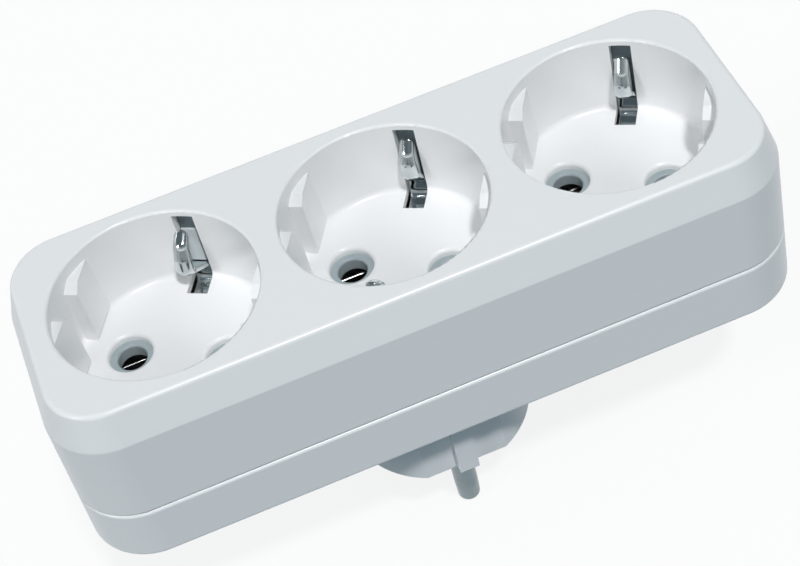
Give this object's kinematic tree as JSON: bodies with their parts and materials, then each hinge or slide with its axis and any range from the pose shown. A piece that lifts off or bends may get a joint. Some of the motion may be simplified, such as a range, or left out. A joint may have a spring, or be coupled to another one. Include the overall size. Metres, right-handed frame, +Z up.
{
  "type": "multi socket adapter",
  "caption": "White earthed mains adapter: round recessed sockets in a row along the top of a long box, and one round-pin plug underneath.",
  "frame": {"origin": "centre of the plug's face, between the roots of its two pins", "axes": "+X along the row of sockets, +Y across it, +Z up out of the sockets and away from the plug's pins"},
  "size_m": [0.1406, 0.0504, 0.079],
  "materials": {
    "housing_plastic": "smooth, softly glossy white moulding",
    "plate_plastic": "plain grey moulding",
    "nickel_plate": "bright nickel plating",
    "rail_brass": "rolled brass strip",
    "contact_bronze": "tinned spring bronze",
    "screw_steel": "zinc plated"
  },
  "bodies": {
    "root": {"upper_housing": "housing_plastic", "lower_housing": "housing_plastic", "line_pin": "nickel_plate", "line_rail": "rail_brass", "line_contact_left": "contact_bronze", "line_contact_middle": "contact_bronze", "line_contact_right": "contact_bronze", "neutral_pin": "nickel_plate", "neutral_rail": "rail_brass", "neutral_contact_left": "contact_bronze", "neutral_contact_middle": "contact_bronze", "neutral_contact_right": "contact_bronze", "pin_plate_left": "plate_plastic", "pin_plate_middle": "plate_plastic", "pin_plate_right": "plate_plastic", "earth_clip_left": "nickel_plate", "earth_clip_middle": "nickel_plate", "earth_clip_right": "nickel_plate", "earth_rail": "rail_brass", "plug_earth_strip_left": "nickel_plate", "plug_earth_strip_right": "nickel_plate", "contact_rivets": "rail_brass", "earth_rivets": "rail_brass", "housing_screws": "screw_steel"}
  },
  "joints": []
}
